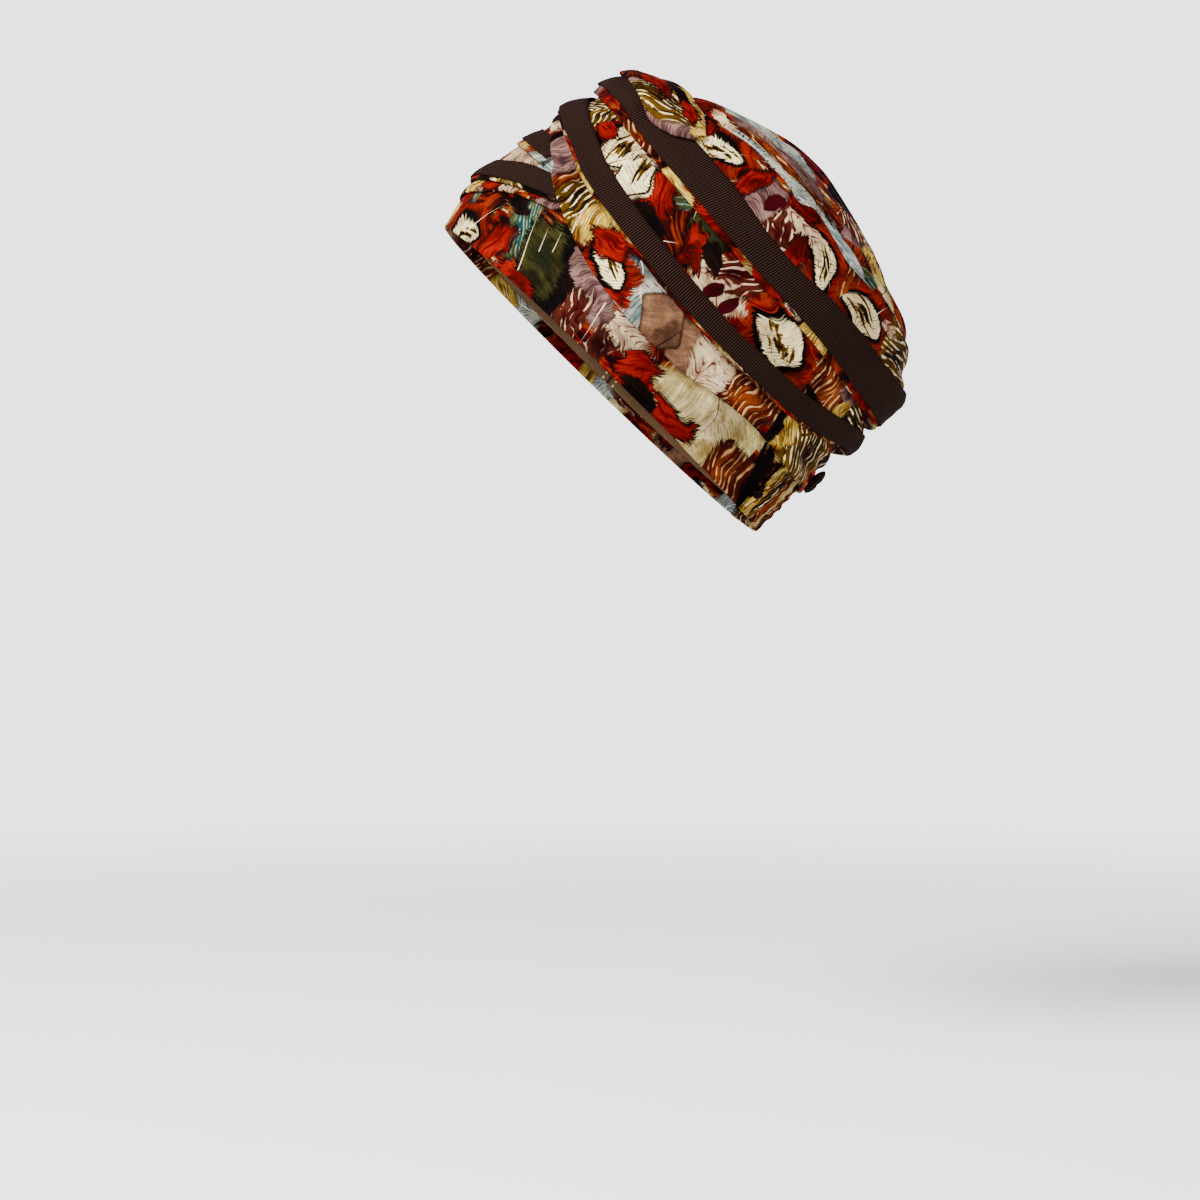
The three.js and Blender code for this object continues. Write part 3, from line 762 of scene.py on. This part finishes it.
# What the rest of the cloth is strewn with, layer by layer.
# Columns: motifs, space between them, range of half lengths, range of half widths, in mm.
STREWN = {
    "under": (
        ("red", "ember", "rust", "black", "gold", "pale", "maroon", "mauve", "ember"),
        17, (12, 18), (9, 13)),
    "middle": (
        ("eye", "mauve", "eye", "ember", "vein", "spot", "stripe", "sky", "tan"),
        25, (12, 17), (8, 11)),
    "over": (
        ("shaft", "red", "petal", "black", "shaft", "maroon", "gold", "line"),
        19, (7, 11), (3.5, 6)),
}
STREWN_TRIES = 1500
STREWN_TOP = 134
# The part of the left side whose motifs are all listed, apart from its under layer.
HAND_TURNS = (6, 172)
HAND_TOP = 125
# Motifs are centred PRINT_LIFT off the cap, and print what lies up to PRINT_DEPTH in or out from there. A
# corner that no motif reaches gets the place OFF_MOTIF, well outside them all.
PRINT_LIFT = 3
PRINT_DEPTH = 16
MOTIF_REACH = 1.5
OFF_MOTIF = 9.0
SEED_STEP = 3.7


def strewn_places(piece, layer, points, by_hand):
    """Seeded motifs for the cloth beyond the listed ones, clear of them and of each other."""
    motifs, apart, length_range, width_range = STREWN[layer]
    random = np.random.default_rng([len(piece), sum(map(ord, piece)), PRINT_LAYERS.index(layer)])
    turns = random.uniform(-180, 180, STREWN_TRIES)
    heights = random.uniform(0, STREWN_TOP, STREWN_TRIES)
    headings = random.uniform(0, 360, STREWN_TRIES)
    lengths = random.uniform(*length_range, STREWN_TRIES)
    widths = random.uniform(*width_range, STREWN_TRIES)
    chosen = random.integers(0, len(motifs), STREWN_TRIES)
    filled = (turns > HAND_TURNS[0]) & (turns < HAND_TURNS[1]) & (heights < HAND_TOP) & (layer != "under")
    filled = filled & piece.startswith(("rim", "left", "crown"))
    places = lifted(turns, heights, PRINT_LIFT)
    kept = [lifted(turn, height, PRINT_LIFT) for _, turn, height, *_ in by_hand]
    reach = [0.9 * row[4] + lengths[0] for row in by_hand]
    placed = []
    for i in np.flatnonzero(~filled):
        if kept and np.any(np.linalg.norm(np.array(kept) - places[i], axis=1) < reach):
            continue
        if np.min(np.linalg.norm(points - places[i], axis=1)) > lengths[i]:
            continue
        kept.append(places[i])
        reach.append(apart)
        placed.append((motifs[chosen[i]], turns[i], heights[i], headings[i], lengths[i], widths[i]))
    return placed


def mark_print(mesh, points, piece):
    """Gives every corner its place in the motif that lies on its face, for each layer of the print."""
    count = len(mesh.polygons)
    corner_points = np.zeros(len(mesh.loops), np.int32)
    mesh.loops.foreach_get("vertex_index", corner_points)
    totals = np.zeros(count, np.int32)
    mesh.polygons.foreach_get("loop_total", totals)
    corner_faces = np.repeat(np.arange(count), totals)
    corners = points[corner_points]
    middles = np.zeros((count, 3))
    np.add.at(middles, corner_faces, corners)
    middles /= totals[:, None]
    for layer in PRINT_LAYERS:
        by_hand = MOTIF_PLACES[piece].get(layer, [])
        rows = by_hand + strewn_places(piece, layer, middles[::7], by_hand)
        nearest = np.full(count, OFF_MOTIF)
        place = np.tile([OFF_MOTIF, OFF_MOTIF, 0.0], (len(corners), 1))
        size = np.tile([1.0, 1.0, 0.0], (len(corners), 1))
        for index, (motif, turn, height, heading, length, width) in enumerate(rows):
            around, up, out = cap_directions(turn, rise_of(height))
            centre = lifted(turn, height, PRINT_LIFT)
            angle = math.radians(heading)
            shaft = around * math.cos(angle) + up * math.sin(angle)
            side = np.cross(out, shaft)
            from_centre = middles - centre
            p, q = from_centre @ shaft / length, from_centre @ side / width
            spread = np.maximum(np.abs(p), np.abs(q))
            mine = (spread < MOTIF_REACH) & (spread < nearest) & (np.abs(from_centre @ out) < PRINT_DEPTH)
            nearest[mine] = spread[mine]
            at = mine[corner_faces]
            from_centre = corners[at] - centre
            p, q = from_centre @ shaft / length, from_centre @ side / width
            place[at] = np.stack([p, q, np.full(at.sum(), SEED_STEP * index)], -1)
            size[at] = (length, width, MOTIFS.index(motif))
        for part, values in (("place", place), ("size", size)):
            attribute = mesh.attributes.new(f"{layer}_{part}", "FLOAT_VECTOR", "CORNER")
            attribute.data.foreach_set("vector", values.astype(np.float32).ravel())


# ---------------------------------------------------------------- pieces of cloth

def wrinkles(turn, height, seed):
    """Soft creases along the wrap, which gather towards the back."""
    arc = np.abs(turn) * ARC_PER_DEGREE
    drift = 5 * soft_noise(arc / 45, height / 30, seed)
    long = 0.5 + 0.5 * soft_noise(arc / 34, (height + drift) / 5.5, seed + 1)
    fine = 0.5 + 0.5 * soft_noise(arc / 13, (height + 0.5 * drift) / 3.2, seed + 2)
    gather = 0.5 + 0.5 * np.sin(2 * math.pi * (height + 2.5 * drift) / 8.5 + 0.03 * arc)
    back = smooth_step(138, 172, np.abs(turn))
    return 0.6 * long + 0.25 * fine + back * (1.7 * gather ** 1.4 + 0.7 * fine)


# How far the rows of a turned-up hem reach above the fold, in mm, and how far a rolled edge turns, in
# radians.
HEM_ROWS = (6.5, 4.5, 2.8, 1.5)
ROLLED_ANGLE = 2.7


def new_piece(name, bm, points, wall, looks):
    """An object from a bmesh and its points, with its cloth and its wall."""
    for vertex, point in zip(bm.verts, worn(points)):
        vertex.co = point
    mesh = bpy.data.meshes.new(name)
    bm.to_mesh(mesh)
    bm.free()
    mesh.shade_smooth()
    piece = bpy.data.objects.new(name, mesh)
    bpy.context.collection.objects.link(piece)
    for look in looks:
        mesh.materials.append(look)
    solid = piece.modifiers.new("wall", "SOLIDIFY")
    solid.thickness = wall * UNIT
    solid.offset = -1
    solid.material_offset = len(looks) - 1
    return piece


def mark_flat(mesh, along, across):
    """A flat map of the cloth in millimetres."""
    corners = np.zeros(len(mesh.loops), np.int32)
    mesh.loops.foreach_get("vertex_index", corners)
    places = np.stack([along.ravel(), across.ravel()], -1)[corners]
    mesh.uv_layers.new(name="flat").data.foreach_set("uv", places.astype(np.float32).ravel())


def close_seams(mesh):
    """Joins the edges and the pole where a sheet meets itself."""
    bm = bmesh.new()
    bm.from_mesh(mesh)
    bmesh.ops.remove_doubles(bm, verts=bm.verts, dist=SEAM_REACH)
    bm.to_mesh(mesh)
    bm.free()


def settle(piece, node, slot):
    """Fixes a piece to the one body, in place of its plain node."""
    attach(piece, "root")
    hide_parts(node)


def declare_sheet(piece, width, length, area, held, rests_on=()):
    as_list(rests_on)


def laid_strip(name, node, span, lower, upper, wall=CLOTH, look=print_face, roll=0.0, crown=0.0, puff=0.0,
               cover=None, count=20, crease=1.0, seed=1, step=0.8, slot="printed_cloth", held="folded",
               rests_on=(), swell=None, printed=None):
    """A strip round the head between two lines of heights, laid over all there is so far.

    roll is the thickness of its folded lower edge, crown the radius of its rolled upper edge, puff and crease
    its fullness and wrinkles, cover the line above which the next piece hides it, count its rows and step the
    degrees between its columns. swell lifts it further, and printed names its row of placed motifs."""
    start, end = span
    base = layers.eased()
    flat = GAP + (2 * wall if roll else wall)
    lower, upper = line_through(lower), line_through(upper)
    cover = line_through(cover) if cover else upper

    def face(turn, height):
        low, high = lower(turn), upper(turn)
        lift = layers.sample(base, turn, height) + flat
        if roll:
            hemmed = 1 - smooth_step(0.5, 6, (height - low) / climb(turn, low))
            lift = lift + (GAP + roll - flat) * hemmed
        if crown:
            rolled = smooth_step(-6, -1.5, (height - high) / climb(turn, high))
            lift = lift + (2 * crown + GAP - flat) * rolled
        shown = np.clip((height - low) / np.maximum(cover(turn) - low, 0.5), 0, 1)
        narrow = np.clip((cover(turn) - low) / 9, 0, 1)
        arch = np.sin(math.pi * shown) ** 0.7
        lift = lift + (puff + crease * wrinkles(turn, height, seed)) * narrow * arch
        return lift + swell(turn, height) if swell else lift

    turn = np.linspace(start, end, int(round((end - start) / step)) + 1)
    low, high = lower(turn), upper(turn)
    low_gain, high_gain = climb(turn, low), climb(turn, high)
    first = low + roll / 2 * low_gain
    last = high - crown * high_gain
    heights, lifts = [], []
    if roll:
        for up in HEM_ROWS:
            heights.append(np.minimum(low + up * low_gain, high - 0.2))
            lifts.append(layers.sample(base, turn, heights[-1]) + GAP / 2)
        for angle in np.linspace(0, math.pi, 7)[:-1]:
            heights.append(low + roll / 2 * (1 - math.sin(angle)) * low_gain)
            lifts.append(face(turn, first) - roll / 2 * (1 + math.cos(angle)))
    for share in np.linspace(0, 1, count + 1):
        heights.append(first + (last - first) * share)
        lifts.append(face(turn, heights[-1]))
    if crown:
        for angle in np.linspace(0, ROLLED_ANGLE, 8)[1:]:
            heights.append(last + crown * math.sin(angle) * high_gain)
            lifts.append(face(turn, last) - crown * (1 - math.cos(angle)))
    layers.add(start, end, lower, upper, face)

    points = lifted(turn, np.array(heights), np.array(lifts))
    along = np.linalg.norm(np.diff(points, axis=1), axis=2)
    across = np.linalg.norm(np.diff(points, axis=0), axis=2)
    middle = np.append(0, along.mean(axis=0).cumsum()) * np.ones((len(heights), 1))
    climbed = np.concatenate([np.zeros((1, len(turn))), across.cumsum(axis=0)])
    bm = bmesh.new()
    bmesh.ops.create_grid(bm, x_segments=len(turn) - 1, y_segments=len(heights) - 1, size=0.5)
    flat_points = points.reshape(-1, 3)
    piece = new_piece(name, bm, flat_points, wall, [look])
    mark_flat(piece.data, middle, climbed)
    if printed:
        mark_print(piece.data, flat_points, printed)
    settle(piece, node, slot)
    length, width = along.sum(axis=1).max(), climbed[-1].max()
    area = min(climbed[-1].mean() * along.sum(axis=1).mean(), length * width)
    declare_sheet(piece, width, length, area, held, rests_on)


def column(rows, index, change=0.0):
    """One column of a table as its own line, moved by a change."""
    return [(row[0], row[index] + change) for row in rows]


def crown_line(turn):
    """Where the folds end and the open crown begins."""
    left, right = line_through(LEFT_CROWN_EDGE), line_through(RIGHT_CROWN_EDGE)
    return np.where(turn > -70, left(turn), right(turn))


CAP_COLUMNS = 421
BACK_RAYS = 34


def crown_cap():
    """The whole dome inside the folds. Where the crown is open, its cloth stands up in long soft pleats."""
    turn = np.linspace(-180, 180, CAP_COLUMNS)
    # Few rows low down, where the folds hide the cap, and many over the open crown.
    rises = np.concatenate([np.linspace(0.04, 0.55, 14), np.linspace(0.6, math.pi / 2, 90)])
    turns, rise = np.meshgrid(turn, rises)
    height = CROWN_HEIGHT * np.sin(rise)
    spread = np.cos(rise) * CAP_RADIUS
    x, y = spread * np.sin(np.radians(turns)), -spread * np.cos(np.radians(turns))
    drift = 6 * soft_noise(x / 26, y / 26, 3)
    drawn = 1 + 0.35 * smooth_step(-20, 80, y)
    pleat = np.abs(np.sin(math.pi * (x * drawn + 0.18 * y + drift) / PLEAT_PITCH)) ** 0.6
    soft = 0.5 + 0.5 * soft_noise(x / 15, y / 15, 5)
    ray = 0.5 + 0.5 * np.sin(np.radians(turns) * BACK_RAYS + drift * 0.7)
    back = smooth_step(110, 165, np.abs(turns)) * smooth_step(131, 106, height)
    open_crown = smooth_step(1, 8, height - crown_line(turns))
    bulge = open_crown * (2.1 * pleat * (0.45 + 0.55 * soft) - 0.7 + 0.9 * back * ray ** 1.3)
    out = cap_directions(turns, rise)[2]
    points = cap_point(turns, rise) + out * bulge[..., None]
    bm = bmesh.new()
    bmesh.ops.create_grid(bm, x_segments=len(turn) - 1, y_segments=len(rises) - 1, size=0.5)
    flat_points = points.reshape(-1, 3)
    piece = new_piece("crown_cap_cloth", bm, flat_points, CLOTH, [print_face, lining_look])
    mark_flat(piece.data, turns * ARC_PER_DEGREE, height)
    mark_print(piece.data, flat_points, "crown")
    close_seams(piece.data)
    settle(piece, "crown_cap", "printed_cloth")
    declare_sheet(piece, *CAP_FLAT, CAP_AREA, "stretched")


crown_cap()

RIM_LINE = [(-180, 0), (180, 0)]
UNDER_WRAP = 8
wrap_edge = [row for row in RIGHT_WRAP_EDGE if row[0] < 50] + [row for row in LEFT_WRAP_EDGE if row[0] > 56]
laid_strip("rim_band_cloth", "rim_band", (-152, 152), RIM_LINE, column(wrap_edge, 1, UNDER_WRAP),
           roll=RIM_HEM, puff=0.2, crease=0.55, seed=11, count=22, held="stretched", printed="rim")


DRAWN_TURNS = (152, 176)
SWELL_EDGE = 8


def back_swell(low, high, amount):
    """How far a strip stands out where the wraps are drawn together at the back."""
    def swell(turn, height):
        band = smooth_step(low - SWELL_EDGE, low, height) * smooth_step(high + SWELL_EDGE, high, height)
        return amount * smooth_step(*DRAWN_TURNS, np.abs(turn)) * band
    return swell


GATHER_PITCH = 5.2


def ruched(turn, height):
    """Upright gathers in the drawn-in cloth at the nape."""
    turn = np.where(turn < 0, turn + 360, turn)
    inner = smooth_step(NAPE_TURN, NAPE_TURN + 6, turn) * smooth_step(360 - NAPE_TURN, 354 - NAPE_TURN, turn)
    sway = 2.2 * np.sin(height / 9 + turn / 17)
    return inner * (0.5 + 0.5 * np.sin(2 * math.pi * (turn + sway) / GATHER_PITCH))


for side, span, top_edge in (
    ("left", (NAPE_TURN, 180), [(NAPE_TURN, 33), (180, 31)]),
    ("right", (-180, -NAPE_TURN), [(-180, 31), (-NAPE_TURN, 33)]),
):
    laid_strip(f"nape_gather_{side}", "nape_gather", span, RIM_LINE, top_edge, roll=NAPE_HEM, crease=0.5,
               seed=12, swell=ruched, step=0.5, held="gathered", printed="nape")


def top_swell(turn, height):
    """How far the top fold stands out behind, and in front under the pleat."""
    behind = back_swell(72, 86, 4.0)(turn, height)
    front = smooth_step(-30, -12, turn) * smooth_step(60, 36, turn)
    return behind + 2.8 * front * smooth_step(84, 91, height) * smooth_step(109, 98, height)


def wrapped(side, edge, narrow, wide, crown_edge, spans, seed):
    """One side's three folds and two ribbons, from the rim upwards, each over its own span of turns."""
    ribbon = dict(wall=RIBBON, look=ribbon_look, crease=0.25, slot="brown_ribbon", held="laid")
    laid_strip(f"{side}_fold_low_cloth", f"{side}_fold_low", spans[0], edge, column(narrow, 1, 6),
               cover=column(narrow, 1), roll=HEM, puff=0.5, seed=seed, rests_on=["rim_band_cloth"],
               printed=f"{side}_low")
    laid_strip(f"{side}_fold_middle_cloth", f"{side}_fold_middle", spans[1], column(narrow, 1, -1.5),
               column(wide, 1, 3), cover=column(wide, 1, -3), roll=HEM, puff=0.5, seed=seed + 3,
               swell=back_swell(52, 64, 3.4), rests_on=[f"{side}_fold_low_cloth"], printed=f"{side}_middle")
    laid_strip(f"{side}_ribbon_narrow_weave", f"{side}_ribbon_narrow", spans[2], column(narrow, 1),
               column(narrow, 2), seed=seed + 5, count=8, rests_on=[f"{side}_fold_middle_cloth"], **ribbon)
    laid_strip(f"{side}_fold_top_cloth", f"{side}_fold_top", spans[3], column(wide, 1, -3), crown_edge,
               roll=HEM, crown=ROLLED_EDGE, puff=0.4, seed=seed + 7, count=26, swell=top_swell,
               rests_on=["crown_cap_cloth"], printed=f"{side}_top")
    laid_strip(f"{side}_ribbon_wide_weave", f"{side}_ribbon_wide", spans[4], column(wide, 1), column(wide, 2),
               seed=seed + 9, count=10, rests_on=[f"{side}_fold_top_cloth"], **ribbon)


wrapped("right", RIGHT_WRAP_EDGE, RIGHT_NARROW_RIBBON, RIGHT_WIDE_RIBBON, RIGHT_CROWN_EDGE,
        [(-180, end) for end in (60, 52.5, 52.5, 37.5, 37.5)], seed=21)
wrapped("left", LEFT_WRAP_EDGE, LEFT_NARROW_RIBBON, LEFT_WIDE_RIBBON, LEFT_CROWN_EDGE,
        [(start, 180) for start in (-75, -60, -52.5, -45, -37.5)], seed=41)
laid_strip("left_pleat_cloth", "left_pleat", (-22.5, 60), column(LEFT_PLEAT, 1), column(LEFT_PLEAT, 2),
           roll=HEM, crown=ROLLED_EDGE, puff=0.7, crease=0.6, seed=61, step=0.5, printed="left_pleat")


KNOT_TURN = 180
KNOT_HEIGHT = 34.5
KNOT_HALF_TURN, KNOT_HALF_HEIGHT, KNOT_HALF_DEPTH = 5.6, 6.6, 2.2


def nape_knot():
    """The small knot at the nape: a ball of gathered cloth, drawn in round its middle."""
    bm = bmesh.new()
    bmesh.ops.create_uvsphere(bm, u_segments=48, v_segments=32, radius=1)
    ball = np.array([v.co for v in bm.verts])
    x, y, z = ball.T
    pleats = 1 + 0.1 * np.cos(9 * np.arctan2(z, x) + 2 * y) * (1 - y * y)
    waist = 1 - 0.24 * np.exp(-(y / 0.22) ** 2)
    base = layers.sample(layers.eased(), 178, 34.0)
    turn = KNOT_TURN + KNOT_HALF_TURN * x * pleats * waist
    height = KNOT_HEIGHT + KNOT_HALF_HEIGHT * y
    lift = base + 1.2 + KNOT_HALF_DEPTH * z * pleats * waist
    piece = new_piece("nape_knot_cloth", bm, lifted(turn, height, lift), KNOT_CLOTH, [knot_look])
    settle(piece, "nape_knot", "brown_cloth")


nape_knot()

# ---------------------------------------------------------------- floor, light and camera

# Metres, in the row's frame.
FLOOR_HEIGHT = -0.315
FLOOR_HALF = 1.6
FLOOR_FADE = (1.5, 0.5)
LIT_PLACE = (0, 0.03, 0.03)
SKY_LOW, SKY_HIGH = (0.99, 0.965, 1.0), (0.24, 0.24, 0.25)
SKY_STRENGTH = 3.0
CAMERA_PLACE = (1.2, 0.0005, -0.0997)


def staged():
    """A pale floor that fades into the backdrop."""
    material, web, shader = new_material("floor", Roughness=0.9, Specular_IOR_Level=0.1)
    place = web.node("ShaderNodeTexCoord").outputs["Object"]
    x, y, _ = web.split(place)
    away = web.maths("SQRT", web.add(web.times(x, x), web.times(y, y)))
    tint = web.mix(web.noise(place, 6, 3), (0.8, 0.79, 0.8), (0.83, 0.82, 0.83))
    web.feed(shader.inputs["Base Color"], tint)
    web.feed(shader.inputs["Alpha"], web.step(*FLOOR_FADE, away))
    bm = bmesh.new()
    bmesh.ops.create_grid(bm, x_segments=1, y_segments=1, size=FLOOR_HALF)
    mesh = bpy.data.meshes.new("floor")
    bm.to_mesh(mesh)
    bm.free()
    floor = bpy.data.objects.new("floor", mesh)
    floor.location = (0, 0, FLOOR_HEIGHT)
    mesh.materials.append(material)
    bpy.context.collection.objects.link(floor)


staged()

world = bpy.data.worlds.new("studio")
bpy.context.scene.world = world
world.use_nodes = True
sky = Web(world.node_tree)
level = sky.split(sky.node("ShaderNodeTexCoord").outputs["Generated"])[2]
background = world.node_tree.nodes["Background"]
sky.feed(background.inputs["Color"], sky.ramp(sky.step(0.22, 0.6, level), [(0, SKY_LOW), (1, SKY_HIGH)]))
background.inputs["Strength"].default_value = SKY_STRENGTH


def soft_light(name, place, size, power):
    lamp = bpy.data.lights.new(name, "AREA")
    lamp.shape = "DISK"
    lamp.size = size
    lamp.energy = power
    light = bpy.data.objects.new(name, lamp)
    light.location = place
    aim = Vector(LIT_PLACE) - Vector(place)
    light.rotation_euler = aim.to_track_quat("-Z", "Y").to_euler()
    bpy.context.collection.objects.link(light)


soft_light("key", (1.1, -0.9, 1.2), size=0.7, power=140)
soft_light("fill", (0.9, 1.5, 0.5), size=1.2, power=12)

camera_data = bpy.data.cameras.new("camera")
camera_data.lens = 80
camera_data.sensor_width = 36
camera = bpy.data.objects.new("camera", camera_data)
camera.location = CAMERA_PLACE
camera.rotation_euler = (math.pi / 2, 0, math.pi / 2)
bpy.context.collection.objects.link(camera)
bpy.context.scene.camera = camera
